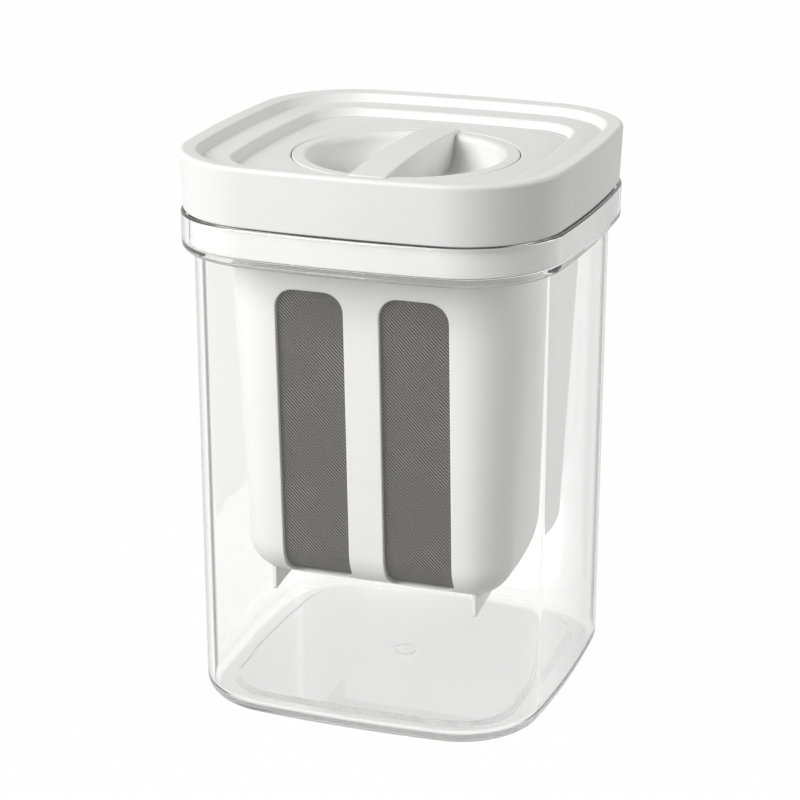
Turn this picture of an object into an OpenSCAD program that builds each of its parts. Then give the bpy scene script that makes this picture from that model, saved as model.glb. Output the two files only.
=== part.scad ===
// Yogurt strainer: a clear square container, a white basket with fine mesh windows that
// hangs in its collar, and a white lid whose turning knob latches a sprung press plate.
// Millimetres, +Z up, front face towards -Y, standing on z = 0, centred on the z axis.

/* [Outside] */
// Half width of the lid and collar, at the middle of a side
half_width = 54; // [52:0.5:57]
// Height of the clear body up to the underside of the collar
body_h = 129.5; // [127:0.5:134]
// Height of the clear collar band
collar_h = 10.4; // [9.8:0.1:12]
// Height of the lid from its lower edge to the rim's crest
lid_h = 16.2; // [15.6:0.1:17.4]

/* [Container] */
// How far the body stands in from the collar
body_in = 3.4; // [3.2:0.1:3.8]
// How much further the foot of the body stands in
draft = 0.6; // [0.3:0.1:0.9]
// Wall of the clear body
body_wall = 1.9; // [1.7:0.1:2.3]
// Wall of the collar
collar_wall = 2; // [1.8:0.1:2.4]
// Thickness of the floor
floor_t = 3; // [2.6:0.1:3.6]
// Outside radius of the bottom edge
foot_r = 5; // [4:0.5:6]

/* [Basket] */
// Half width of the basket's foot, left to right
basket_x = 38.6; // [37.8:0.1:39]
// Half depth of the basket's foot, front to back
basket_y = 31.4; // [30.5:0.1:33]
// Height of the basket's underside above the table
basket_z = 34.2; // [33:0.1:36]
// Outward lean of the basket's walls, for one millimetre of height
basket_lean = 0.048; // [0.04:0.001:0.05]
// Wall of the moulded frame
basket_wall = 1.8; // [1.6:0.1:2]
// Half width of the post between two windows
post_half = 5; // [4:0.5:6]
// Width of a front or back window
window_front = 19.4; // [17:0.1:20]
// Thickness of the woven mesh
mesh_t = 0.4; // [0.3:0.05:0.5]

/* [Lid and knob] */
// Wall of the lid
lid_wall = 2.2; // [1.8:0.1:2.4]
// Radius of the knob's disc
knob_r = 31; // [29.4:0.2:31.6]
// Width of the grip bar
bar_w = 10.4; // [9:0.2:12]
// How far the middle of the grip bar stands above the lid's panel
bar_up = 1.7; // [1.4:0.1:2.4]
// How much lower the grip bar is at the knob's edge
bar_crown = 1.2; // [0.8:0.1:1.4]
// Depth of the finger dishes beside the bar
dish_d = 9; // [8:0.5:9.5]

/* [Press] */
// Travel of the press plate
press_travel = 24; // [20:1:25]
// Thickness of the press plate
plate_t = 2.4; // [2:0.1:3]
// Wire diameter of the press spring
wire_d = 1.6; // [1.2:0.1:1.8]
// Mean radius of the press spring
spring_r = 13.6; // [13.2:0.1:14.4]

/* [Hidden] */
// Plan of the bowed square: each side is a flat arc and each corner a tangent arc.
// The direction of the line where they meet has an exact sine and cosine.
side_cos = 0.99712;
side_sin = 0.07584;
side_reach = 331.25;
corner_c = side_reach * side_sin;
side_k = side_reach * side_cos - corner_c;
corner_r = half_width - side_reach * (1 - side_cos) - corner_c;
side_r = side_reach + corner_r;
cut_reach = 50;
cut_a = corner_c + cut_reach * side_cos;
cut_b = corner_c + cut_reach * side_sin;
sweep_turn = asin(0.6);
// How far in from the outside a swept profile may reach, and the block that fills the middle
sweep_in = corner_r - 1.5;
core_w = 2 * (half_width - corner_r + 4.5);
eps = 0.5;

// Gap left between pieces that lift apart, and the fit of a turned shaft
seat_gap = 0.3;
shaft_fit = 0.06;
clip_fit = 0.02;

// Container levels
collar_top = body_h + collar_h;
ledge_t = 1.9;
ledge_z = body_h + ledge_t;
collar_r = 1.8;
lip_cut = 0.5;
step_in = 12.5;
step_up = 1;
gate_r = 4.5;
gate_d = 0.4;

// Lid levels, down from the crest of its rim
lid_z = collar_top + seat_gap;
lid_top = lid_z + lid_h;
ledge_top = lid_top - 2.9;
panel_z = lid_top - 5.6;
skirt_in = 0.7;
crest_r = 1.2;
crest_in = 4.5;
crest_drop = 0.5;
rim_foot_in = 5.9;
ledge_in = 13.6;
panel_in = 15.4;

// Basket levels
plan_r = 12;
frame_reach = plan_r - 0.5;
base_r = plan_r - 0.7;
flat_x = basket_x - plan_r;
flat_y = basket_y - plan_r;
lean_z = basket_z + base_r;
floor_in = basket_z + basket_wall;
flange_z = ledge_z + seat_gap;
flange_t = 1.8;
flange_in = collar_wall + 0.4;
rim_in = flange_in;
rim_wall = 2;
rim_top = collar_top - 0.6;
window_z = basket_z + basket_wall + 0.1;
window_top = flange_z - 11.6;
window_r = 5.5;
window_foot_r = 3;
mesh_edge = 1.6;
mesh_room = 0.05;
floor_window_y = 16;
fin_t = 1.1;
fin_x = flat_x + 2.7;
fin_y = basket_y - 5.3;
fin_run = 14.3;
fin_drop = 4.7;
fin_rise = 1.9;

// Lid ring that drops inside the basket's rim
ring_in = rim_in + rim_wall + 0.5;
ring_wall = 2;
ring_z = flange_z + flange_t + 1.4;

// Knob and the cup it turns in
cup_r = knob_r + seat_gap;
cup_wall = 2;
cup_z = panel_z - 12.3;
cup_floor = 2;
seat_z = cup_z - cup_floor;
boss_r = 14;
knob_z = cup_z + 1.4;
knob_gap = 0.1;
dish_r = knob_r - 5;
dish_round = 7.5;
dish_edge = 2;
dish_z = panel_z - dish_d;
bar_top = panel_z + bar_up;
bar_skin = 2.2;
bar_slot = 42;
crown_steps = 24;

// Barrel, latch and plunger
barrel_r = 9.2;
bore_r = 6.6;
rod_r = 4.4;
rod_room = 0.3;
lug_r = 6.2;
lug_w = 3.8;
lug_h = 3;
key_w = lug_w + 1;
latch_t = 2.5;
spigot = 2.8;
cap_h = 2;
cap_skirt = 2.5;
cap_wall = 0.9;
lug_up = seat_z - 4.2;
latch_z = lug_up - seat_gap - latch_t;
lug_z = lug_up - press_travel;
cap_z = lug_z - seat_gap - cap_h;

// Press plate and spring
collar_rod = 2;
plate_top = cap_z - press_travel - collar_rod - 0.8;
plate_room = 1;
plate_rim = 3;
plate_rim_t = 1.8;
spring_room = 0.4;
spring_rings = 8;
spring_sides = 6;
spring_ring = (spring_r - wire_d / 2) * cos(180 / spring_rings) - spring_room;
spring_ring_h = 2.5;
spring_ring_t = 1.4;
flange_r = spring_ring - 1;
end_gap = 0.05;
turns = 7;
end_pitch = wire_d + 0.5;
spring_low = plate_top + end_gap + wire_d / 2;
spring_high = seat_z - end_gap - wire_d / 2;
spring_pitch = (spring_high - spring_low - 2 * end_pitch) / (turns - 2);

// Sweeps a profile round the bowed square. Its x is minus the distance in from the outside.
module loop() {
  for (q = [0 : 3]) rotate([0, 0, 90 * q]) {
    intersection() {
      translate([-side_k, 0, 0]) rotate([0, 0, -sweep_turn])
        rotate_extrude(angle = 45, $fn = 1440) translate([side_r, 0]) children();
      translate([0, 0, -5]) linear_extrude(lid_top + 10)
        polygon([[-side_k, 0], [cut_a, -cut_b], [cut_a, cut_b]]);
    }
    intersection() {
      translate([corner_c, corner_c, 0])
        rotate_extrude(angle = 90, $fn = 96) translate([corner_r, 0]) children();
      translate([0, 0, -5]) linear_extrude(lid_top + 10)
        polygon([[corner_c, corner_c], [cut_a, cut_b], [cut_a, cut_a], [cut_b, cut_a]]);
    }
  }
}

// A slab with the bowed square's plan: x in from the outside, and its lower and upper faces.
module slab(x, low, high) {
  loop() translate([-sweep_in, low]) square([sweep_in - x, high - low]);
  translate([-core_w / 2, -core_w / 2, low]) cube([core_w, core_w, high - low]);
}

// Sweeps a profile round a rounded rectangle. Its x is measured out from the foot's outline.
module frame_loop() {
  for (s = [0, 1]) rotate([0, 0, 180 * s]) {
    translate([-flat_x, -flat_y, 0]) rotate([0, 0, 180])
      rotate_extrude(angle = 90, $fn = 96) translate([plan_r, 0]) children();
    translate([flat_x, -flat_y, 0]) rotate([0, 0, 270])
      rotate_extrude(angle = 90, $fn = 96) translate([plan_r, 0]) children();
    translate([-flat_x, -basket_y, 0]) rotate([90, 0, 90])
      linear_extrude(2 * flat_x) mirror([1, 0]) children();
    translate([basket_x, -flat_y, 0]) rotate([90, 0, 180])
      linear_extrude(2 * flat_y) mirror([1, 0]) children();
  }
}

// The waste outside a quarter round of radius r, at a corner that faces +x and -y.
module corner_waste(r) {
  difference() {
    translate([-r, -eps]) square([r + eps, r + eps]);
    translate([-r, r]) circle(r = r, $fn = 64);
  }
}

// A rectangle with round corners, centred, from its half sizes.
module round_plan(hx, hy, r) {
  difference() {
    square([2 * hx, 2 * hy], center = true);
    for (m = [0, 1], n = [0, 1]) mirror([m, 0]) mirror([0, n])
      translate([hx, -hy]) corner_waste(r);
  }
}

// A window's outline, with its lower left corner at the origin.
module window_shape(w, h) {
  difference() {
    square([w, h]);
    translate([w, 0]) corner_waste(window_foot_r);
    mirror([1, 0]) corner_waste(window_foot_r);
    translate([w, h]) mirror([0, 1]) corner_waste(window_r);
    translate([0, h]) mirror([1, 0]) mirror([0, 1]) corner_waste(window_r);
  }
}

// Section of the clear wall, with its collar, ledge and the edge of the floor.
module container_section() {
  foot_in = body_in + draft;
  inner = foot_in + body_wall;
  difference() {
    polygon([[-sweep_in, 0], [-foot_in, 0], [-foot_in, foot_r], [-body_in, body_h], [0, body_h],
      [0, collar_top - lip_cut], [-lip_cut, collar_top], [-collar_wall, collar_top],
      [-collar_wall, ledge_z], [-body_in - body_wall, ledge_z], [-inner, floor_t + 3],
      [-inner - 0.23, floor_t + 1.85], [-inner - 0.88, floor_t + 0.88],
      [-inner - 1.85, floor_t + 0.23], [-inner - 3, floor_t], [-sweep_in, floor_t]]);
    translate([-foot_in, 0]) corner_waste(foot_r);
    translate([0, body_h]) corner_waste(collar_r);
  }
}

module container() {
  color([0.9, 0.95, 0.97, 0.35]) difference() {
    union() {
      loop() container_section();
      translate([-core_w / 2, -core_w / 2, 0]) cube([core_w, core_w, floor_t]);
      slab(step_in, floor_t - eps, floor_t + step_up);
    }
    translate([0, 0, -eps]) cylinder(r = gate_r, h = eps + gate_d, $fn = 48);
  }
}

// Section of the basket's wall, filled in from a face that lies d inside its outer face.
module wall_fill(d) {
  difference() {
    polygon([[-frame_reach, basket_z + d], [-d, basket_z + d], [-d, lean_z],
      [basket_lean * (flange_z + 1 - lean_z) - d, flange_z + 1],
      [-frame_reach, flange_z + 1]]);
    translate([-d, basket_z + d]) corner_waste(base_r - d);
  }
}

module window_cuts() {
  h = window_top - window_z;
  for (s = [0, 1]) rotate([0, 0, 180 * s]) {
    for (m = [0, 1]) mirror([m, 0, 0])
      translate([post_half, 0, window_z]) rotate([90, 0, 0])
        translate([0, 0, basket_y - base_r]) linear_extrude(20)
          window_shape(window_front, h);
  }
}

// The strip of mesh that lines one window, seen in section, with room round it.
// It follows the wall's inner face and tucks under the window's sill.
module mesh_section(room) {
  high = window_top + mesh_edge + room;
  intersection() {
    difference() {
      wall_fill(basket_wall - mesh_t - room);
      wall_fill(basket_wall);
    }
    translate([-base_r - room, basket_z]) square([base_r + room + 8, high - basket_z]);
  }
}

module mesh_front(room) {
  translate([post_half - mesh_edge - room, -basket_y, 0]) rotate([90, 0, 90])
    linear_extrude(window_front + 2 * (mesh_edge + room)) mirror([1, 0]) mesh_section(room);
}

module mesh_floor(room) {
  translate([post_half - mesh_edge - room, -floor_window_y - mesh_edge - room,
      floor_in - mesh_t - room])
    cube([window_front + 2 * (mesh_edge + room), 2 * (floor_window_y + mesh_edge + room),
      mesh_t + room]);
}

// One thin foot blade under a front corner, lowest at its front edge.
module fin() {
  rotate([90, 0, 90]) translate([0, 0, -fin_t / 2]) linear_extrude(fin_t)
    polygon([[-fin_y, basket_z - fin_drop], [-fin_y + fin_run, basket_z - fin_drop + fin_rise],
      [-fin_y + fin_run, basket_z + 1], [-fin_y, basket_z + 3]]);
}

// The rectangular mouth through the flange.
module frame_mouth() {
  lean = basket_lean * (flange_z - lean_z) - basket_wall;
  translate([0, 0, flange_z - eps]) linear_extrude(flange_t + 2 * eps)
    round_plan(basket_x + lean, basket_y + lean, plan_r + lean);
}

module basket_frame() {
  color([0.96, 0.96, 0.95]) difference() {
    union() {
      frame_loop() difference() {
        wall_fill(0);
        wall_fill(basket_wall);
      }
      translate([frame_reach - basket_x, frame_reach - basket_y, basket_z])
        cube([2 * (basket_x - frame_reach), 2 * (basket_y - frame_reach), basket_wall]);
      difference() {
        slab(flange_in, flange_z, flange_z + flange_t);
        frame_mouth();
      }
      loop() translate([-rim_in - rim_wall, flange_z + eps])
        square([rim_wall, rim_top - flange_z - eps]);
      for (m = [0, 1], n = [0, 1]) mirror([m, 0, 0]) mirror([0, n, 0])
        translate([fin_x, 0, 0]) fin();
    }
    window_cuts();
    for (m = [0, 1]) mirror([m, 0, 0]) {
      mesh_front(mesh_room);
      mirror([0, 1, 0]) mesh_front(mesh_room);
      mesh_floor(mesh_room);
      translate([post_half, -floor_window_y, basket_z - 1])
        cube([window_front, 2 * floor_window_y, basket_wall + 2]);
    }
  }
}

module mesh_color() {
  color([0.45, 0.45, 0.46]) children();
}

module mesh_front_l() {
  mesh_color() mirror([1, 0, 0]) mesh_front(0);
}

module mesh_front_r() {
  mesh_color() mesh_front(0);
}

module mesh_back_l() {
  mesh_color() mirror([1, 0, 0]) mirror([0, 1, 0]) mesh_front(0);
}

module mesh_back_r() {
  mesh_color() mirror([0, 1, 0]) mesh_front(0);
}

module mesh_floor_l() {
  mesh_color() mirror([1, 0, 0]) mesh_floor(0);
}

module mesh_floor_r() {
  mesh_color() mesh_floor(0);
}

// Section of the lid: skirt, rounded rim, ledge and the edge of the sunk panel.
module lid_section() {
  under = ledge_top - lid_wall;
  difference() {
    polygon([[-skirt_in, lid_z], [0, lid_top - crest_r], [0, lid_top], [-crest_r, lid_top],
      [-crest_in, lid_top - crest_drop], [-rim_foot_in, ledge_top], [-ledge_in, ledge_top],
      [-panel_in, panel_z], [-sweep_in, panel_z], [-sweep_in, panel_z - lid_wall],
      [-panel_in - 1.2, panel_z - lid_wall], [-ledge_in - 0.8, under],
      [-lid_wall - skirt_in, under], [-lid_wall - skirt_in, lid_z]]);
    translate([0, lid_top]) mirror([0, 1]) corner_waste(crest_r);
  }
}

module lid() {
  color([0.95, 0.95, 0.94]) difference() {
    union() {
      loop() lid_section();
      translate([-core_w / 2, -core_w / 2, panel_z - lid_wall])
        cube([core_w, core_w, lid_wall]);
      loop() translate([-ring_in - ring_wall, ring_z])
        square([ring_wall, ledge_top - lid_wall / 2 - ring_z]);
      translate([0, 0, seat_z])
        cylinder(r = cup_r + cup_wall, h = panel_z - seat_z - lid_wall / 4, $fn = 144);
    }
    translate([0, 0, cup_z]) cylinder(r = cup_r, h = lid_h, $fn = 144);
    translate([0, 0, seat_z - 1])
      cylinder(r = barrel_r + shaft_fit, h = cup_floor + 2, $fn = 96);
  }
}

// Section of the finger dish, a bowl with a rounded foot.
module dish_section() {
  difference() {
    translate([0, dish_z]) square([dish_r, dish_d + 5]);
    translate([dish_r, dish_z]) corner_waste(dish_round);
  }
}

// The grip bar, straight in plan, crowned along its length and cut to the knob's disc.
module grip_bar() {
  low = knob_z + eps;
  crown = [for (k = [0 : crown_steps]) let (s = 2 * k / crown_steps - 1)
    [knob_r * s, bar_top - bar_crown * s * s]];
  intersection() {
    translate([-bar_w / 2, 0, 0]) rotate([90, 0, 90]) linear_extrude(bar_w)
      polygon(concat([[knob_r, low], [-knob_r, low]], crown));
    translate([0, 0, knob_z]) cylinder(r = knob_r - 0.02, h = bar_top - knob_z + 1, $fn = 144);
  }
}

module knob() {
  color([0.95, 0.95, 0.94]) difference() {
    union() {
      difference() {
        translate([0, 0, knob_z]) cylinder(r = knob_r, h = panel_z - knob_z, $fn = 144);
        rotate_extrude($fn = 144) dish_section();
        rotate_extrude($fn = 144) translate([dish_r, panel_z])
          mirror([1, 0]) mirror([0, 1]) corner_waste(dish_edge);
      }
      grip_bar();
      translate([0, 0, cup_z + knob_gap]) cylinder(r = boss_r, h = knob_z - cup_z, $fn = 96);
    }
    translate([0, 0, cup_z - 1])
      cylinder(r = barrel_r + clip_fit, h = spigot + 1 + knob_gap, $fn = 96);
    translate([-bar_w / 2 + bar_skin, -bar_slot / 2, cup_z - 1])
      cube([bar_w - 2 * bar_skin, bar_slot, bar_top - bar_skin - cup_z + 1]);
  }
}

module cam_barrel() {
  foot = cap_z + cap_h;
  color([0.82, 0.83, 0.84]) difference() {
    union() {
      translate([0, 0, foot]) cylinder(r = barrel_r, h = cup_z + spigot - foot, $fn = 96);
      translate([0, 0, seat_z - 2.2 - knob_gap]) cylinder(r = flange_r, h = 2.2, $fn = 96);
    }
    translate([0, 0, foot - 1]) cylinder(r = bore_r, h = latch_z - foot + 1, $fn = 72);
    translate([0, 0, latch_z + latch_t])
      cylinder(r = bore_r, h = cup_z + spigot - 2 - latch_z - latch_t, $fn = 72);
    translate([0, 0, latch_z - 1]) cylinder(r = rod_r + rod_room, h = latch_t + 2, $fn = 72);
    intersection() {
      translate([-key_w / 2, -bore_r, latch_z - 1]) cube([key_w, 2 * bore_r, latch_t + 2]);
      translate([0, 0, latch_z - 2]) cylinder(r = bore_r - 0.01, h = latch_t + 4, $fn = 72);
    }
  }
}

module barrel_cap() {
  color([0.75, 0.76, 0.78]) difference() {
    translate([0, 0, cap_z])
      cylinder(r = barrel_r + cap_wall, h = cap_h + cap_skirt, $fn = 96);
    translate([0, 0, cap_z + cap_h])
      cylinder(r = barrel_r + clip_fit, h = cap_skirt + 1, $fn = 96);
    translate([0, 0, cap_z - 1]) cylinder(r = rod_r + rod_room, h = cap_h + 2, $fn = 72);
  }
}

module plunger() {
  foot = plate_top - plate_t - 0.6;
  color([0.82, 0.83, 0.84]) {
    translate([0, 0, foot]) cylinder(r = rod_r, h = lug_z + lug_h + 1 - foot, $fn = 72);
    intersection() {
      translate([-lug_w / 2, -lug_r, lug_z]) cube([lug_w, 2 * lug_r, lug_h]);
      translate([0, 0, lug_z - 1]) cylinder(r = lug_r - 0.01, h = lug_h + 2, $fn = 72);
    }
    translate([0, 0, plate_top + clip_fit])
      cylinder(r = rod_r + 2.6, h = collar_rod, $fn = 72);
  }
}

module press_plate() {
  lean = basket_lean * (plate_top - plate_t - lean_z) - basket_wall - plate_room;
  hx = basket_x + lean;
  hy = basket_y + lean;
  r = plan_r + lean;
  color([0.93, 0.93, 0.92]) difference() {
    union() {
      translate([0, 0, plate_top - plate_t]) linear_extrude(plate_t) round_plan(hx, hy, r);
      translate([0, 0, plate_top - eps]) linear_extrude(plate_rim + eps) difference() {
        round_plan(hx, hy, r);
        round_plan(hx - plate_rim_t, hy - plate_rim_t, r - plate_rim_t);
      }
      difference() {
        translate([0, 0, plate_top - eps])
          cylinder(r = spring_ring, h = spring_ring_h + eps, $fn = 96);
        translate([0, 0, plate_top - eps])
          cylinder(r = spring_ring - spring_ring_t, h = spring_ring_h + 1, $fn = 96);
      }
    }
    translate([0, 0, plate_top - plate_t - 1])
      cylinder(r = rod_r + clip_fit, h = plate_t + 4, $fn = 72);
  }
}

// Height of the spring's wire after t turns: one close turn at each end.
function spring_rise(t) =
  t < 1 ? spring_low + end_pitch * t
  : t > turns - 1 ? spring_high - end_pitch * (turns - t)
  : spring_low + end_pitch + spring_pitch * (t - 1);

function spring_point(i, j) =
  let (t = i / spring_rings, a = 360 * t, b = 360 * j / spring_sides)
  let (r = spring_r + wire_d / 2 * cos(b))
  [r * cos(a), r * sin(a), spring_rise(t) + wire_d / 2 * sin(b)];

// The press spring, one unbroken tube.
module press_spring() {
  n = turns * spring_rings;
  k = spring_sides;
  pts = [for (i = [0 : n], j = [0 : k - 1]) spring_point(i, j)];
  near = [for (i = [0 : n - 1], j = [0 : k - 1])
    [i * k + j, i * k + (j + 1) % k, (i + 1) * k + j]];
  far = [for (i = [0 : n - 1], j = [0 : k - 1])
    [i * k + (j + 1) % k, (i + 1) * k + (j + 1) % k, (i + 1) * k + j]];
  first = [for (j = [1 : k - 2]) [0, j + 1, j]];
  last = [for (j = [1 : k - 2]) [n * k, n * k + j, n * k + j + 1]];
  color([0.72, 0.73, 0.75])
    polyhedron(points = pts, faces = concat(near, far, first, last));
}

echo(spring_least_gap = min([for (i = [0 : (turns - 1) * spring_rings])
  norm(spring_point(i + spring_rings, 0) - spring_point(i, 0)) - wire_d]));

container();
basket_frame();
mesh_front_l();
mesh_front_r();
mesh_back_l();
mesh_back_r();
mesh_floor_l();
mesh_floor_r();
lid();
knob();
cam_barrel();
barrel_cap();
press_spring();
plunger();
press_plate();
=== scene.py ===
# %% [markdown]
# A yogurt strainer: a clear square container, a white basket with fine mesh windows that hangs in
# it, and a white lid with a turning knob. Such a model could be drawn free and scaled to fit at the
# end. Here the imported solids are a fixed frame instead, so nothing needs fitting: every piece is
# placed in that frame, in metres, and moves with one of its bodies.

# %% Load the frame
import math

import bmesh
import bpy
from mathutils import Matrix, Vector


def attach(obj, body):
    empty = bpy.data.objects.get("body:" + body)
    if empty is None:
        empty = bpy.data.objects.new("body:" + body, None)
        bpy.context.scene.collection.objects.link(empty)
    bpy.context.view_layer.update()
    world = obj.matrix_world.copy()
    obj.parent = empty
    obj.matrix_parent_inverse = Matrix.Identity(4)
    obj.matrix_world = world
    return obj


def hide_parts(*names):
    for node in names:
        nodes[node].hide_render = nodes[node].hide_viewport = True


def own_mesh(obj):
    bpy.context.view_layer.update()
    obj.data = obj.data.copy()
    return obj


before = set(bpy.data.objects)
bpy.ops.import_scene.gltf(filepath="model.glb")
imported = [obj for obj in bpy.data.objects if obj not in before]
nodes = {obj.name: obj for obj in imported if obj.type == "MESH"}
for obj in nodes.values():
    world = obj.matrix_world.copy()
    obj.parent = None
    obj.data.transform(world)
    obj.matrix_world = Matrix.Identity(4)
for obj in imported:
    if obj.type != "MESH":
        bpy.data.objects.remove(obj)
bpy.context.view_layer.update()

MM = 0.001
scene = bpy.context.scene
scene.view_settings.view_transform = "Standard"

# %% [markdown]
# The camera comes first, because everything is compared through it. It could be placed by eye, but
# then a few pixels of error in the camera look like errors in the shape. This one was worked out
# from the edges of the lid, the collar, the foot and the basket in the photograph, with no roll.

# %% Camera
FIELD_OF_VIEW = math.radians(18.382)
SENSOR_WIDTH = 36
NEAREST = 0.01
EYE = Vector((221.23, -618.03, 302.2)) * MM
AIM = Vector((-1.513, -0.546, 80.064)) * MM


def look_at(made, target):
    """Turn a camera or a lamp, which both look down their own -Z, towards a point."""
    made.rotation_euler = (target - made.location).to_track_quat("-Z", "Y").to_euler()


camera_data = bpy.data.cameras.new("camera")
camera_data.sensor_width = SENSOR_WIDTH
camera_data.angle = FIELD_OF_VIEW
camera_data.clip_start = NEAREST
camera = bpy.data.objects.new("camera", camera_data)
scene.collection.objects.link(camera)
camera.location = EYE
look_at(camera, AIM)
scene.camera = camera
print("camera lens:", round(camera_data.lens, 1), "mm")

# %% [markdown]
# The finishes are worked out by shader nodes. Nodes can be added and linked one at a time, but then
# a short sum takes half a page. This class wraps one socket of a node tree, so that a sum or a
# product of sockets adds the Math nodes by itself. Any other node is made by one method, which takes
# the node's type, its settings and the values or links of its sockets. A socket is given by its
# label, or by its number after an underscore where labels repeat.


# %% Socket maths
class Wire:
    def __init__(self, tree, socket=None):
        self.tree = tree
        self.socket = socket

    def node(self, kind, settings=(), out=0, **sockets):
        made = self.tree.nodes.new(kind)
        for key, value in dict(settings).items():
            if key == "stops":
                for point, (position, colour) in zip(made.color_ramp.elements, value):
                    point.position = position
                    point.color = colour
            else:
                setattr(made, key, value)
        for key, value in sockets.items():
            place = int(key[1:]) if key[0] == "_" else key.replace("_", " ")
            self.link(made.inputs[place], value)
        return Wire(self.tree, made.outputs[out])

    def link(self, place, value):
        if isinstance(value, Wire):
            self.tree.links.new(value.socket, place)
        else:
            place.default_value = value

    def show(self):
        self.link(self.tree.nodes["Material Output"].inputs["Surface"], self)

    def ramp(self, first, last):
        return self.node("ShaderNodeValToRGB", {"stops": (first, last)}, _0=self)

    def mix(self, first, last):
        return self.node("ShaderNodeMix", {"data_type": "RGBA"}, out=2, _0=self, _6=first, _7=last)

    def clamp(self):
        return self.node("ShaderNodeClamp", _0=self)

    def maths(self, operation, first, second=0.0):
        return self.node("ShaderNodeMath", {"operation": operation}, _0=first, _1=second)

    def sine(self):
        return self.maths("SINE", self)

    def __add__(self, other):
        return self.maths("ADD", self, other)

    def __sub__(self, other):
        return self.maths("SUBTRACT", self, other)

    def __mul__(self, other):
        return self.maths("MULTIPLY", self, other)

    def __truediv__(self, other):
        return self.maths("DIVIDE", self, other)

    def __rsub__(self, other):
        return self.maths("SUBTRACT", other, self)

    def __rtruediv__(self, other):
        return self.maths("DIVIDE", other, self)

    __radd__ = __add__
    __rmul__ = __mul__


print("socket class ready")

# %% [markdown]
# Each finish starts from the same three things: a new material, the sockets of its surface shader,
# and a wire that carries what the shader gives out. A finish for every piece could be typed out in
# full, but the first lines would repeat, so they are one helper. A second helper gives noise in the
# piece's own coordinates, which stays on the piece when it moves.


# %% Helpers for finishes
def finish(name):
    made = bpy.data.materials.new(name)
    made.use_nodes = True
    surface = made.node_tree.nodes["Principled BSDF"]
    return made, surface.inputs, Wire(made.node_tree, surface.outputs["BSDF"])


def own_place(wire):
    return wire.node("ShaderNodeTexCoord", out="Object")


def noise(wire, scale, detail):
    return wire.node("ShaderNodeTexNoise", Vector=own_place(wire), Scale=scale, Detail=detail)


print("finish helpers ready")

# %% [markdown]
# The lid, the knob and the basket are white polypropylene: a soft satin skin, very slightly uneven
# where the mould was textured, and a little duller where hands and sponges rub. One flat white would
# look like paper, and a painted picture would show its dots close up. Noise at three sizes does
# neither: the largest stains the colour, the middle one varies the gloss, and the finest is the
# grain. The basket keeps its sharp solid, so its finish also rounds the edges in the shading. The
# press has a duller white for its plate and a slippery grey plastic for the parts that slide.

# %% White plastic
STAIN_SCALE, WEAR_SCALE, GRAIN_SCALE = 28.0, 160.0, 2600.0
STAIN_FROM, STAIN_TO, STAIN_TINT = 0.35, 0.65, 0.975
WEAR_SPREAD = 0.12
GRAIN_DEPTH = 0.0001
SATIN_SPECULAR = 0.4
EDGE_SAMPLES = 6
BASKET_EDGE = 0.0007


def white_plastic(name, colour, roughness, grain, edge=0.0):
    made, shader, wire = finish(name)
    stain = noise(wire, STAIN_SCALE, detail=3.0)
    wear = noise(wire, WEAR_SCALE, detail=4.0)
    skin = noise(wire, GRAIN_SCALE, detail=2.0)
    stained = tuple(c * STAIN_TINT for c in colour[:3]) + (1,)
    wire.link(shader["Base Color"], stain.ramp((STAIN_FROM, stained), (STAIN_TO, colour)))
    wire.link(shader["Roughness"], roughness + (wear - 0.5) * WEAR_SPREAD)
    bump = {"Strength": grain, "Distance": GRAIN_DEPTH, "Height": skin}
    if edge:
        bump["Normal"] = wire.node("ShaderNodeBevel", {"samples": EDGE_SAMPLES}, Radius=edge)
    wire.link(shader["Normal"], wire.node("ShaderNodeBump", **bump))
    shader["Specular IOR Level"].default_value = SATIN_SPECULAR
    return made


LID_COLOUR, FRAME_COLOUR = (0.785, 0.785, 0.777, 1), (0.87, 0.87, 0.865, 1)
PLATE_COLOUR, SLIDE_COLOUR = (0.78, 0.78, 0.77, 1), (0.52, 0.53, 0.54, 1)
lid_white = white_plastic("white lid plastic", LID_COLOUR, roughness=0.46, grain=0.10)
frame_white = white_plastic(
    "white basket plastic", FRAME_COLOUR, roughness=0.40, grain=0.05, edge=BASKET_EDGE)
plate_white = white_plastic("white press plastic", PLATE_COLOUR, roughness=0.42, grain=0.06)
slide_grey = white_plastic("grey slide plastic", SLIDE_COLOUR, roughness=0.34, grain=0.04)
print("white plastics made")

# %% [markdown]
# The container is a clear, hard plastic with an index of refraction near 1.5, so its round corners
# bend what is seen through them. A thin see-through skin would be quicker but would bend nothing, so
# this is a real refracting solid. Shadow and bounced rays pass straight through it, which lets light
# reach the basket. Faint wash marks vary the gloss, and the underside has a fine frosted texture, as
# mould makers give it so that scratches don't show. Where a skin is seen edge on, it is mixed with a
# near-black see-through shader. This is a painted dark edge, which stands in for the dark
# surroundings that a real wall reflects at a glancing angle.

# %% Clear plastic
CLEAR_IOR = 1.5
CLEAR_TINT, FROST_TINT = (0.985, 0.985, 0.982, 1), (0.8, 0.8, 0.8, 1)
THIN_TINT, PAINTED_EDGE_COLOUR = (0.99, 0.99, 0.99, 1), (0.02, 0.02, 0.02, 1)
WASH_SCALE, WASH_ROUGHNESS = 45.0, 0.03
WAVE_SCALE, WAVE_STRENGTH, WAVE_DEPTH = 18.0, 0.03, 0.0004
FROST_TOP, FROST_FADE, FROST_ROUGHNESS = 0.5, 5.0, 0.55
GLANCE_FROM, GLANCE_RISE = 0.69, 10.0


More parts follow.
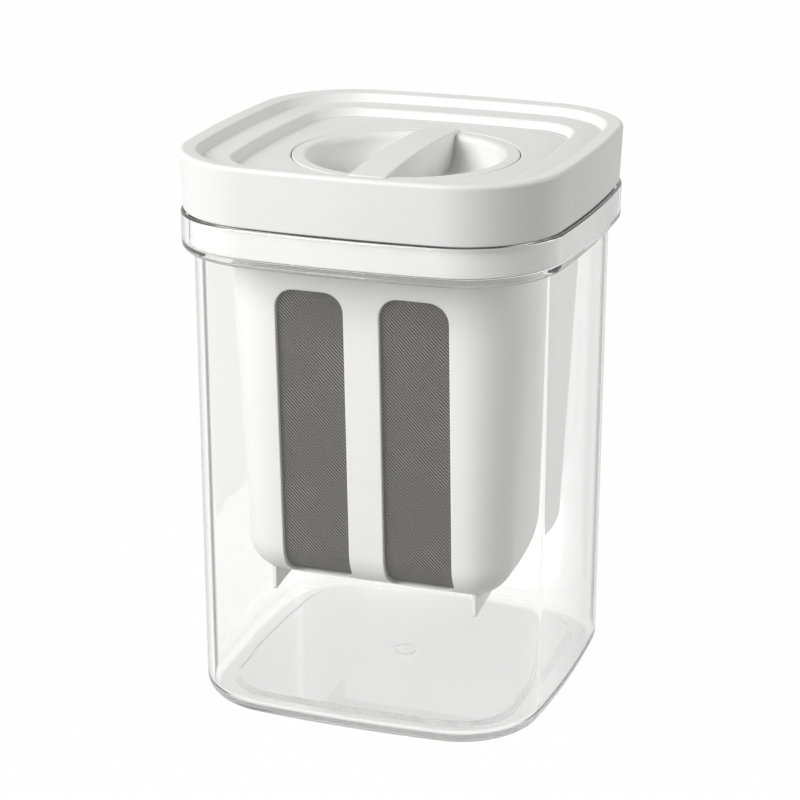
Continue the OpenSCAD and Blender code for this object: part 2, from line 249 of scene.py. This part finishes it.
def clear_plastic(name, painted_edge_strength):
    made, shader, wire = finish(name)
    wash = noise(wire, WASH_SCALE, detail=5.0)
    wave = noise(wire, WAVE_SCALE, detail=1.0)
    height = wire.node("ShaderNodeSeparateXYZ", out="Z", Vector=own_place(wire)) / MM
    frost = ((FROST_TOP - height) * FROST_FADE).clamp()
    ripple = wire.node("ShaderNodeBump", Strength=WAVE_STRENGTH, Distance=WAVE_DEPTH, Height=wave)
    wire.link(shader["Roughness"], (wash * WASH_ROUGHNESS + frost * FROST_ROUGHNESS).clamp())
    wire.link(shader["Base Color"], frost.mix(CLEAR_TINT, FROST_TINT))
    wire.link(shader["Normal"], ripple)
    shader["IOR"].default_value = CLEAR_IOR
    shader["Transmission Weight"].default_value = 1.0
    # Painted dark edge: at a glancing angle the finish is mixed with a near-black see-through shader,
    # as painted shade for the dark surroundings reflected along the wall.
    glance = wire.node("ShaderNodeLayerWeight", out="Facing", Blend=0.5)
    painted_edge_share = ((glance - GLANCE_FROM) * GLANCE_RISE).clamp() * painted_edge_strength
    painted_edge = wire.node("ShaderNodeBsdfTransparent", Color=PAINTED_EDGE_COLOUR)
    solid = wire.node("ShaderNodeMixShader", _0=painted_edge_share, _1=wire, _2=painted_edge)
    shadow = wire.node("ShaderNodeLightPath", out="Is Shadow Ray")
    bounced = wire.node("ShaderNodeLightPath", out="Is Diffuse Ray")
    thin = wire.node("ShaderNodeBsdfTransparent", Color=THIN_TINT)
    wire.node("ShaderNodeMixShader", _0=(shadow + bounced).clamp(), _1=solid, _2=thin).show()
    return made


# Both skins get the painted dark edge at a glancing angle, and the inner one gets much more of it.
container_clear = clear_plastic("clear container plastic", painted_edge_strength=0.16)
container_inside_painted_edge = clear_plastic("clear container inner skin, painted dark edge", painted_edge_strength=0.95)
print("clear plastic made")

# %% [markdown]
# The windows hold a very fine twill-woven steel mesh. It looks dark grey, with diagonal lines where
# the wires step over each other. Every wire could be modelled, but there are hundreds in a window
# and each is thinner than a pixel. So the weave is drawn in the plane of each panel: two sets of
# wires for the bump, and the diagonal of the twill for the colour. Slow noise makes the diagonals
# sway and fade in places, as they do on a cloth that isn't stretched evenly.

# %% Woven mesh
WIRE_PITCH, TWILL_PITCH = 0.25 * MM, 0.75 * MM
SWAY_SCALE, SWAY = 25.0, 9.0
FADE_SCALE, FADE_FROM, FADE_RISE, FADE_LEAST = 60.0, 0.38, 5.0, 0.25
TWILL_MIDDLE, TWILL_CONTRAST = 0.37, 1.3
MESH_DARK, MESH_PALE = (0.004, 0.004, 0.004, 1), (0.24, 0.235, 0.226, 1)
MESH_ROUGHNESS, MESH_ROUGHNESS_SPREAD = 0.5, 0.15
MESH_STRENGTH, MESH_DEPTH = 0.25, 0.0001
MESH_METALLIC, MESH_SPECULAR = 0.25, 0.1


def woven_mesh(name, across, up):
    made, shader, wire = finish(name)
    u = wire.node("ShaderNodeSeparateXYZ", out=across, Vector=own_place(wire))
    v = wire.node("ShaderNodeSeparateXYZ", out=up, Vector=own_place(wire))
    fade = noise(wire, FADE_SCALE, detail=2.0)
    sway = noise(wire, SWAY_SCALE, detail=1.0)
    turn = 2 * math.pi
    twill = ((u + v) * (turn / (TWILL_PITCH * math.sqrt(2))) + sway * SWAY).sine() * 0.5 + 0.5
    warp = (u * (turn / WIRE_PITCH)).sine()
    weft = (v * (turn / WIRE_PITCH)).sine()
    crisp = ((fade - FADE_FROM) * FADE_RISE).clamp() * (1 - FADE_LEAST) + FADE_LEAST
    tone = (TWILL_MIDDLE + (twill - 0.5) * crisp * TWILL_CONTRAST).clamp()
    weave = wire.node("ShaderNodeBump", Strength=MESH_STRENGTH, Distance=MESH_DEPTH, Height=warp * weft)
    wire.link(shader["Base Color"], tone.mix(MESH_DARK, MESH_PALE))
    wire.link(shader["Roughness"], MESH_ROUGHNESS + twill * MESH_ROUGHNESS_SPREAD)
    wire.link(shader["Normal"], weave)
    shader["Metallic"].default_value = MESH_METALLIC
    shader["Specular IOR Level"].default_value = MESH_SPECULAR
    return made


mesh_front = woven_mesh("woven mesh front", "X", "Z")
mesh_floor = woven_mesh("woven mesh floor", "X", "Y")
print("woven mesh made")

# %% [markdown]
# The spring is drawn stainless wire: bright, with fine marks from the die that it was pulled
# through. Lines that follow the wire would need its surface to be unwrapped first. The marks are far
# smaller than the wire, so fine noise in the colour and the gloss is enough.

# %% Spring wire
DRAWN_SCALE, DRAWN_FROM, DRAWN_TO = 900.0, 0.3, 0.7
STEEL_DARK, STEEL_PALE = (0.5, 0.5, 0.52, 1), (0.66, 0.66, 0.68, 1)
STEEL_ROUGHNESS, STEEL_ROUGHNESS_SPREAD = 0.22, 0.2


def spring_wire():
    made, shader, wire = finish("drawn spring wire")
    marks = noise(wire, DRAWN_SCALE, detail=3.0)
    wire.link(shader["Base Color"], marks.ramp((DRAWN_FROM, STEEL_DARK), (DRAWN_TO, STEEL_PALE)))
    wire.link(shader["Roughness"], STEEL_ROUGHNESS + marks * STEEL_ROUGHNESS_SPREAD)
    shader["Metallic"].default_value = 1.0
    return made


spring_steel = spring_wire()
print("spring wire made")

# %% [markdown]
# Seen from above, the container and the lid are one square with slightly bowed sides and round
# corners. A square with a Bevel modifier would have straight sides, so here each side is a shallow
# arc and each corner an arc that runs on from it without a kink, as on the solids. A ring of this
# plan can be drawn at any inset. A circle with points in the same directions goes with it, so that
# a panel can run from the square edge to a round hole. Plans and sections are in millimetres, and
# the helper that makes a piece of them turns them into metres.

# %% Plan of the bowed square
HALF = 54.0
SIDE_COS, SIDE_SIN, SIDE_REACH = 0.99712, 0.07584, 331.25
CORNER_C = SIDE_REACH * SIDE_SIN
SIDE_K = SIDE_REACH * SIDE_COS - CORNER_C
CORNER_R = HALF - SIDE_REACH * (1 - SIDE_COS) - CORNER_C
SIDE_TURN = math.asin(SIDE_SIN)
SIDE_STEPS, CORNER_STEPS = 14, 30
ANGLES_IN = 10
QUARTER_TURNS = ((1, 0), (0, 1), (-1, 0), (0, -1))


def square_ring(inset, z):
    quarter = []
    for i in range(SIDE_STEPS):
        a = SIDE_TURN * (2 * i / SIDE_STEPS - 1)
        r = SIDE_REACH + CORNER_R - inset
        quarter.append((r * math.cos(a) - SIDE_K, r * math.sin(a)))
    for i in range(CORNER_STEPS):
        a = SIDE_TURN + (math.pi / 2 - 2 * SIDE_TURN) * i / CORNER_STEPS
        r = CORNER_R - inset
        quarter.append((CORNER_C + r * math.cos(a), CORNER_C + r * math.sin(a)))
    return [(c * x - s * y, s * x + c * y, z) for c, s in QUARTER_TURNS for x, y in quarter]


ANGLES = [math.atan2(y, x) for x, y, z in square_ring(ANGLES_IN, 0)]


def round_ring(radius, z):
    return [(radius * math.cos(a), radius * math.sin(a), z) for a in ANGLES]


print("points round the plan:", len(ANGLES))

# %% [markdown]
# A moulded piece has a small round on every edge. Rounds can be bevelled onto a sharp mesh later,
# but bevels of different sizes catch on each other at thin walls. So a section is drawn here as a
# short list of corners, each with its inset or radius, its height and the radius of its round. The
# first and the last corner aren't drawn: they only guide the direction of the ends.

# %% Rounded sections
GUIDE = 3


def rounded(corners, steps):
    points = []
    for before, (x, z, r), after in zip(corners, corners[1:], corners[2:]):
        here = Vector((x, z))
        if r == 0:
            points.append((x, z))
            continue
        a = (Vector(before[:2]) - here).normalized()
        b = (Vector(after[:2]) - here).normalized()
        half = math.acos(max(-1, min(1, a.dot(b)))) / 2
        middle = here + (a + b).normalized() * r / math.sin(half)
        first = here + a * r / math.tan(half) - middle
        last = here + b * r / math.tan(half) - middle
        for k in range(steps + 1):
            points.append(tuple(middle + first.slerp(last, k / steps).normalized() * r))
    return points


sample = rounded([(0, 0, 0), (GUIDE, 0, 1), (GUIDE, GUIDE, 0)], steps=6)
print("points on a sample round:", len(sample))

# %% [markdown]
# Every point of a section becomes a ring round the plan, and a loft joins each ring to the next one
# with faces. Blender's Screw modifier does this round a circle only, which is why it is done by hand
# here. A piece made of these faces then gets its finish, rides on one body of the frame and stands
# for a solid. The Weighted Normal modifier lets the large faces rule the shading, so that flats look
# flat beside small rounds. It is applied at once, which leaves a plain mesh.

# %% Lofts and pieces
SAME_POINT = 1e-7


def loft(rings, closed):
    """Points and faces of rings joined in order, back to the first if closed, else capped."""
    n = len(rings[0])
    points = [p for ring in rings for p in ring]
    faces = []
    for k in range(len(rings) if closed else len(rings) - 1):
        a, b = k * n, (k + 1) % len(rings) * n
        faces += [(a + i, a + (i + 1) % n, b + (i + 1) % n, b + i) for i in range(n)]
    if not closed:
        faces.append(tuple(reversed(range(n))))
        faces.append(tuple(range(len(points) - n, len(points))))
    return points, faces


def piece(name, points, faces, material, body, *stands_for):
    mesh = bpy.data.meshes.new(name)
    mesh.from_pydata([Vector(p) * MM for p in points], [], faces)
    shape = bmesh.new()
    shape.from_mesh(mesh)
    bmesh.ops.remove_doubles(shape, verts=shape.verts, dist=SAME_POINT)
    bmesh.ops.recalc_face_normals(shape, faces=shape.faces)
    shape.to_mesh(mesh)
    shape.free()
    mesh.polygons.foreach_set("use_smooth", [True] * len(mesh.polygons))
    made = bpy.data.objects.new(name, mesh)
    scene.collection.objects.link(made)
    mesh.materials.append(material)
    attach(made, body)
    if stands_for:
        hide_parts(*stands_for)
    print(name, "faces:", len(mesh.polygons))
    return made


def settle(made, modifier):
    """Apply one modifier, so that the piece is a plain mesh again."""
    bpy.context.view_layer.objects.active = made
    bpy.ops.object.modifier_apply(modifier=modifier.name)


def flatten_shading(made):
    settle(made, made.modifiers.new("flats", "WEIGHTED_NORMAL"))


print("loft helpers ready")

# %% [markdown]
# The container is one clear moulding. It could be a block with a smaller block cut out, but every
# edge of clear plastic bends light, so the rounds of both skins matter. One section therefore runs
# from the middle of the underside, round the foot, up the wall, round the collar and its lip, and
# back down the inside to the raised panel of the floor. The shallow dimple under the floor and the
# ring in the middle of the panel are the marks that moulding leaves.

# %% Container
BODY_IN, BODY_WALL, COLLAR_WALL, DRAFT = 3.4, 1.9, 2.0, 0.6
BODY_H, COLLAR_TOP, LEDGE_Z, FLOOR_T, FOOT_R = 129.5, 139.9, 131.4, 3.0, 5.0
FLOOR_IN, PANEL_FOOT_IN, PANEL_EDGE_IN, PANEL_RISE = 20.0, 11.6, 13.4, 1.0
ROUND_R, CENTRE_R = 12, 1.5
DIMPLE_R, DIMPLE_EDGE_R, DIMPLE_H = 3.6, 4.5, 0.12
MARK_OUT_R, MARK_IN_R, MARK_SLOPE, MARK_DEPTH = 4.3, 2.9, 0.4, 0.25
SKIN_IN = 0.06
foot_in = BODY_IN + DRAFT
floor_top = FLOOR_T + PANEL_RISE
wall = rounded([
    (FLOOR_IN + GUIDE, 0, 0),
    (FLOOR_IN, 0, 0),
    (foot_in, 0, FOOT_R),
    (foot_in, FOOT_R, 0),
    (BODY_IN, BODY_H, 0.8),
    (SKIN_IN, BODY_H, 1.8),
    (SKIN_IN, COLLAR_TOP, 0.6),
    (COLLAR_WALL, COLLAR_TOP, 0.6),
    (COLLAR_WALL, LEDGE_Z, 0.6),
    (BODY_IN + BODY_WALL, LEDGE_Z, 0.5),
    (foot_in + BODY_WALL, FLOOR_T, 2.4),
    (PANEL_FOOT_IN, FLOOR_T, 1.0),
    (PANEL_EDGE_IN, floor_top, 1.0),
    (FLOOR_IN, floor_top, 0),
    (FLOOR_IN + GUIDE, floor_top, 0),
], steps=8)
dimple = [(CENTRE_R, DIMPLE_H), (DIMPLE_R, DIMPLE_H), (DIMPLE_EDGE_R, 0), (ROUND_R, 0)]
mark = [
    (ROUND_R, floor_top),
    (MARK_OUT_R, floor_top),
    (MARK_OUT_R - MARK_SLOPE, floor_top - MARK_DEPTH),
    (MARK_IN_R + MARK_SLOPE, floor_top - MARK_DEPTH),
    (MARK_IN_R, floor_top),
    (CENTRE_R, floor_top),
]
rings = [round_ring(r, z) for r, z in dimple]
rings += [square_ring(x, z) for x, z in wall]
rings += [round_ring(r, z) for r, z in mark]
container = piece("clear_container", *loft(rings, False), container_clear, "container", "container")
flatten_shading(container)

# %% [markdown]
# The inner skin of the upright wall gets a much stronger painted dark edge at a glancing angle than
# the rest, so it has a finish of its own. The container could be split into two meshes for that, but
# then neither would be a closed solid, and light would bend wrongly in them. A second material on the
# same mesh keeps it whole: it goes on every upright face, above the floor, that looks towards the
# middle.

# %% Inner skin of the container
INNER_FROM = 4.5 * MM
UPRIGHT = 0.3
container.data.materials.append(container_inside_painted_edge)
for face in container.data.polygons:
    upright = abs(face.normal.z) < UPRIGHT and face.center.z > INNER_FROM
    if upright and face.center.xy.dot(face.normal.xy) < 0:
        face.material_index = 1
print("inner skin faces:", sum(face.material_index for face in container.data.polygons))

# %% [markdown]
# The lid is one closed section too. From its lower edge it goes up the skirt, over the crest of the
# rim, down to the ledge and the sunk panel, into the round cup that holds the knob, and back along
# the underside with the ring that drops inside the basket's rim. The cup could be cut out with a
# boolean, but that leaves long thin faces round the hole, which shade badly on a wide flat panel.
# Here the square rings of the panel simply lead on to the round rings of the cup.

# %% Lid
LID_Z, LID_TOP, LEDGE_TOP, PANEL_Z = 140.2, 156.4, 153.5, 150.8
CUP_R, CUP_Z, SEAT_Z, HOLE_R, RING_Z = 31.3, 138.5, 136.5, 9.26, 134.9
SKIRT_WALL, SKIRT_LEAN, SKIRT_TOP = 2.9, 0.7, 155.0
CREST_IN, CREST_Z = 4.5, 155.9
LEDGE_IN, LEDGE_END_IN, PANEL_IN = 5.9, 13.6, 15.4
UNDER_PANEL_IN, UNDER_LEDGE_IN = 17.2, 15.2
RING_NEAR_IN, RING_FAR_IN = 4.9, 6.9
CUP_WALL, PANEL_T = 2, 2.2
under_ledge = LEDGE_TOP - PANEL_T
under_panel = PANEL_Z - PANEL_T
outside = rounded([
    (SKIRT_WALL, LID_Z + GUIDE, 0),
    (SKIRT_WALL, LID_Z, 0.4),
    (SKIRT_LEAN, LID_Z, 0.5),
    (SKIN_IN, SKIRT_TOP, 0),
    (SKIN_IN, LID_TOP, 1.1),
    (CREST_IN, CREST_Z, 0.5),
    (LEDGE_IN, LEDGE_TOP, 0.4),
    (LEDGE_END_IN, LEDGE_TOP, 1.0),
    (PANEL_IN, PANEL_Z, 1.0),
    (PANEL_IN + GUIDE, PANEL_Z, 0),
], steps=7)
cup = rounded([
    (CUP_R + GUIDE, PANEL_Z, 0),
    (CUP_R, PANEL_Z, 0.35),
    (CUP_R, CUP_Z, 0.8),
    (HOLE_R, CUP_Z, 0.2),
    (HOLE_R, SEAT_Z, 0.2),
    (CUP_R + CUP_WALL, SEAT_Z, 0.6),
    (CUP_R + CUP_WALL, under_panel, 0.6),
    (CUP_R + CUP_WALL + GUIDE, under_panel, 0),
], steps=5)
inside = rounded([
    (UNDER_PANEL_IN + GUIDE, under_panel, 0),
    (UNDER_PANEL_IN, under_panel, 0),
    (UNDER_LEDGE_IN, under_ledge, 0),
    (RING_FAR_IN, under_ledge, 0.4),
    (RING_FAR_IN, RING_Z, 0.4),
    (RING_NEAR_IN, RING_Z, 0.4),
    (RING_NEAR_IN, under_ledge, 0.4),
    (SKIRT_WALL, under_ledge, 0.6),
    (SKIRT_WALL, under_ledge - GUIDE, 0),
], steps=4)
rings = [square_ring(x, z) for x, z in outside]
rings += [round_ring(r, z) for r, z in cup]
rings += [square_ring(x, z) for x, z in inside]
lid = piece("white_lid", *loft(rings, True), lid_white, "lid", "lid")
flatten_shading(lid)

# %% [markdown]
# The knob is a round disc that fills the lid's cup, with a narrow seam all round and a wide finger
# dish in its top. A sphere could be cut out of a cylinder for the dish, but its bottom is nearly
# flat and only its wall is round, so it is drawn as a section and carried round a circle. The hub
# below reaches down to just above the floor of the cup.

# %% Knob
KNOB_R, KNOB_Z, DISH_Z = 31.0, 139.9, 141.8
HUB_R, HUB_LIFT, MIDDLE_R = 14.0, 0.1, 4
DISH_EDGE_IN, DISH_IN, DISH_ROUND = 4.6, 5, 6.8
hub_z = CUP_Z + HUB_LIFT
bowl = rounded([
    (MIDDLE_R, hub_z, 0),
    (HUB_R, hub_z, 0.3),
    (HUB_R, KNOB_Z, 0.3),
    (KNOB_R, KNOB_Z, 0.8),
    (KNOB_R, PANEL_Z, 0.45),
    (KNOB_R - DISH_EDGE_IN, PANEL_Z, 1.8),
    (KNOB_R - DISH_IN, DISH_Z, DISH_ROUND),
    (MIDDLE_R, DISH_Z, 0),
], steps=10)
rings = [round_ring(r, z) for r, z in [(MIDDLE_R, hub_z), *bowl, (MIDDLE_R, DISH_Z)]]
knob = piece("turning_knob", *loft(rings, False), lid_white, "knob", "knob")

# %% [markdown]
# A straight grip bar crosses the dish, a little higher in the middle than at its ends. A bevelled
# cube would do for the sides, but the ends follow the knob's round edge, so the bar is lofted from
# its plan: each ring shrinks a little as it rounds over the top edge. The crown is closed by strips
# from side to side and one face at each end.

# %% Grip bar
BAR_TOP, BAR_HALF, BAR_CROWN, BAR_EDGE = 152.5, 5.2, 1.2, 0.5
BAR_SINK, BAR_END_IN = 0.7, 0.1
BAR_STEPS, END_STEPS, EDGE_STEPS = 24, 8, 5


def bar_outline(shrink):
    """Plan of the bar: two straight sides, and ends that follow the knob's round edge."""
    end = KNOB_R - BAR_END_IN - shrink
    half = BAR_HALF - shrink
    reach = math.sqrt(end * end - half * half)
    side = [(half, reach * (2 * k / BAR_STEPS - 1)) for k in range(BAR_STEPS + 1)]
    across = [half * (1 - 2 * k / END_STEPS) for k in range(1, END_STEPS)]
    right = side + [(x, math.sqrt(end * end - x * x)) for x in across]
    return right + [(-x, -y) for x, y in right]


bar_rings = [[(x, y, KNOB_Z + BAR_SINK) for x, y in bar_outline(0)]]
for k in range(EDGE_STEPS + 1):
    a = math.pi / 2 * k / EDGE_STEPS
    outline = bar_outline(BAR_EDGE * (1 - math.cos(a)))
    rise = BAR_TOP - BAR_EDGE * (1 - math.sin(a))
    bar_rings.append([(x, y, rise - BAR_CROWN * (y / KNOB_R) ** 2) for x, y in outline])
points, faces = loft(bar_rings, False)
faces.pop()
half_way = BAR_STEPS + END_STEPS
far = half_way + BAR_STEPS
crown = [(k, k + 1, far - 1 - k, far - k) for k in range(BAR_STEPS)]
crown += [tuple(range(BAR_STEPS, half_way + 1)), (*range(far, 2 * half_way), 0)]
top_ring = len(points) - 2 * half_way
faces += [tuple(top_ring + k for k in face) for face in crown]
bar = piece("grip_bar", points, faces, lid_white, "knob")

# %% [markdown]
# On the real knob the dish and the bar are one moulding. The two meshes could just overlap, but then
# hidden faces would stay inside the knob. A boolean joins them into one closed skin, and the bar's
# own mesh is taken away.

# %% Knob in one piece
join = knob.modifiers.new("bar", "BOOLEAN")
join.operation = "UNION"
join.object = bar
settle(knob, join)
bpy.data.objects.remove(bar)
flatten_shading(knob)
print("knob faces:", len(knob.data.polygons))

# %% [markdown]
# The press spring is a coil of round wire with one close turn at each end and open turns between. A
# curve with a round bevel could draw it, but a mesh made ring by ring has exactly the turns and the
# pitch of the solid.

# %% Press spring
COIL_R, WIRE_R, TURNS = 13.6, 0.8, 7
COIL_LOW, COIL_HIGH, END_PITCH = 80.05, 135.65, 2.1
COIL_PITCH = (COIL_HIGH - COIL_LOW - 2 * END_PITCH) / (TURNS - 2)
TURN_STEPS, WIRE_SIDES = 40, 10


def coil_rise(t):
    if t < 1:
        return COIL_LOW + END_PITCH * t
    if t > TURNS - 1:
        return COIL_HIGH - END_PITCH * (TURNS - t)
    return COIL_LOW + END_PITCH + COIL_PITCH * (t - 1)


def wire_ring(step):
    a = 2 * math.pi * step / TURN_STEPS
    rise = coil_rise(step / TURN_STEPS)
    around = [2 * math.pi * j / WIRE_SIDES for j in range(WIRE_SIDES)]
    section = [(COIL_R + WIRE_R * math.cos(b), WIRE_R * math.sin(b)) for b in around]
    return [(r * math.cos(a), r * math.sin(a), rise + z) for r, z in section]


coil_rings = [wire_ring(step) for step in range(TURNS * TURN_STEPS + 1)]
coil = piece("press_coil", *loft(coil_rings, False), spring_steel, "lid", "press_spring")
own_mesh(coil)

# %% [markdown]
# The basket frame, the mesh panels and the press's moulded pieces could be drawn again as well. Their
# solids already have every form that shows, so they keep their shapes and only take a finish here.
# The mesh in the basket's floor lies flat, so its weave is drawn in the other plane.

# %% Finishes on the solids
finishes = {
    "basket_frame": frame_white,
    "cam_barrel": slide_grey,
    "barrel_cap": slide_grey,
    "plunger": slide_grey,
    "press_plate": plate_white,
}
for name in nodes:
    if name.startswith("mesh_floor"):
        finishes[name] = mesh_floor
    elif name.startswith("mesh"):
        finishes[name] = mesh_front
for name, material in finishes.items():
    nodes[name].data.materials.clear()
    nodes[name].data.materials.append(material)
print("finishes set on", len(finishes), "solids")

# %% [markdown]
# The strainer stands on plain white. A lit white floor would look grey in places, and a brighter one
# would wash out the object from below. So the floor shows plain white to rays from the camera,
# straight or by way of gloss and clear plastic, and is a matt grey surface for all other light,
# which bounces softly from it.

# %% Floor
FLOOR_REACH = 3
FLOOR_GAP = 0.0002
FLOOR_GREY = (0.5, 0.5, 0.5, 1)
FLOOR_WHITE = 0.99
WHITE = (1, 1, 1, 1)


def seen_rays(wire):
    """1 for rays that bring the white to the camera, 0 for the rest."""
    kinds = ("Is Camera Ray", "Is Glossy Ray", "Is Transmission Ray")
    straight, mirrored, passed = (wire.node("ShaderNodeLightPath", out=kind) for kind in kinds)
    return (straight + mirrored + passed).clamp()


floor_mesh = bpy.data.meshes.new("floor")
floor_corners = [(FLOOR_REACH * x, FLOOR_REACH * y, 0) for x, y in ((-1, -1), (1, -1), (1, 1), (-1, 1))]
floor_mesh.from_pydata(floor_corners, [], [(0, 1, 2, 3)])
floor = bpy.data.objects.new("floor", floor_mesh)
scene.collection.objects.link(floor)
floor.location.z = -FLOOR_GAP
pale_floor, _, wire = finish("pale floor")
matt = wire.node("ShaderNodeBsdfDiffuse", Color=FLOOR_GREY)
white = wire.node("ShaderNodeEmission", Color=WHITE, Strength=1.0)
wire.node("ShaderNodeMixShader", _0=seen_rays(wire) * FLOOR_WHITE, _1=matt, _2=white).show()
floor_mesh.materials.append(pale_floor)
print("floor side:", 2 * FLOOR_REACH, "m")

# %% [markdown]
# The room around is white too. At full strength it would light the object from all sides and leave
# no shade, so it is white only where it is seen, and gives a weak even fill to everything else.

# %% Surroundings
FILL = 0.175
world = bpy.data.worlds.new("white studio")
scene.world = world
world.use_nodes = True
back = world.node_tree.nodes["Background"]
wire = Wire(world.node_tree)
seen = seen_rays(wire)
wire.link(back.inputs["Color"], WHITE)
wire.link(back.inputs["Strength"], seen + (1 - seen) * FILL)
print("fill from the room:", FILL)

# %% [markdown]
# The shades in the photograph suggest one large soft lamp at the front left and a weaker one at the
# right. A sun lamp would give hard edges to the shadows. Square area lamps give soft ones, softer
# the wider they are, and their power is set so that the pale plastic stays just below white.


# %% Lamps
def lamp(name, place, target, width, power):
    data = bpy.data.lights.new(name, "AREA")
    data.shape = "SQUARE"
    data.size = width
    data.energy = power
    made = bpy.data.objects.new(name, data)
    scene.collection.objects.link(made)
    made.location = place
    look_at(made, Vector(target))
    print(name, "lamp:", power, "W")


lamp("front left", place=(-0.614, -0.882, 0.828), target=(0, 0, 0.08), width=0.8, power=19.0)
lamp("right", place=(1.07, 0.5, 0.63), target=(0, 0, 0.1), width=0.6, power=5.8)
